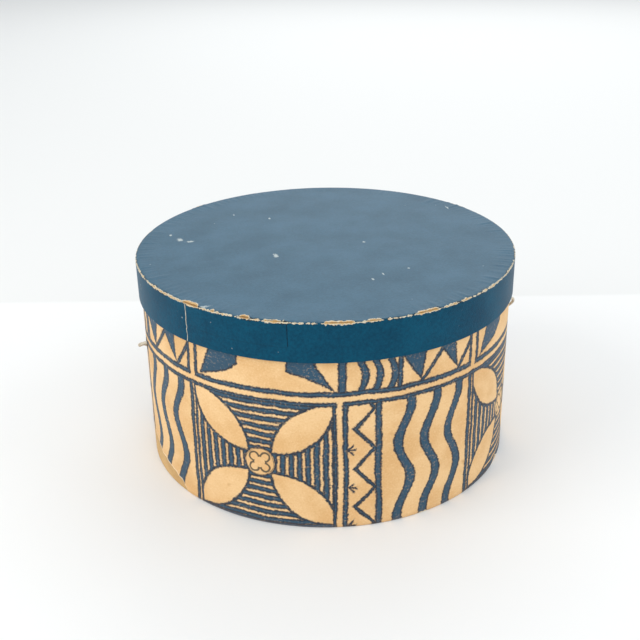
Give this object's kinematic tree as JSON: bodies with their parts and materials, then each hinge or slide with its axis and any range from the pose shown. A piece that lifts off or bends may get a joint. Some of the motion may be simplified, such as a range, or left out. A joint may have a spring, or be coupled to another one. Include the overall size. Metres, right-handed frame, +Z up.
{
  "type": "hat box",
  "caption": "Low round pasteboard hat box with an overlapping lift-off lid, a printed paper wall, paper linings and a slack twisted cord handle through two eyelets.",
  "frame": {"origin": "centre of the base's underside, on the surface the box stands on", "axes": "+Z up along the box's axis, which is also the way the lid lifts; the two cord holes lie on the X axis; -Y is the front"},
  "size_m": [0.3645, 0.354, 0.188],
  "materials": {
    "kraft_board": "raw strawboard, matt",
    "lid_blue_paper": "embossed blue-green paper, worn satin",
    "lid_top_paper": "embossed blue-green paper, faded and scuffed",
    "print_paper": "cream paper with a blue-black block print, matt",
    "lining_paper": "plain off-white lining paper, matt",
    "base_paper": "brown wrapping paper, rubbed",
    "tape": "gummed paper tape",
    "stitch_wire": "dull tinned wire",
    "eyelet_metal": "tarnished, dark",
    "cord_cotton": "three-strand twisted cotton, aged"
  },
  "bodies": {
    "box": {"base_outer_paper": "base_paper", "base_board": "kraft_board", "base_corner_tape": "tape", "base_lining": "lining_paper", "body_wall_board": "kraft_board", "body_wall_stitches": "stitch_wire", "body_print_paper": "print_paper", "body_wall_lining": "lining_paper", "eyelet_left": "eyelet_metal", "eyelet_right": "eyelet_metal", "cord_handle": "cord_cotton", "knot_left": "cord_cotton", "knot_right": "cord_cotton"},
    "lid": {"lid_top_board": "kraft_board", "lid_rim_board": "kraft_board", "lid_rim_stitches": "stitch_wire", "lid_rim_paper": "lid_blue_paper", "lid_top_paper": "lid_top_paper", "lid_corner_tape": "tape", "lid_top_lining": "lining_paper", "lid_rim_lining": "lining_paper"}
  },
  "joints": [
    {"name": "lid_lift", "type": "slide", "parent": "box", "child": "lid", "axis": [0, 0, 1], "range_m": [0, 0.2]}
  ]
}
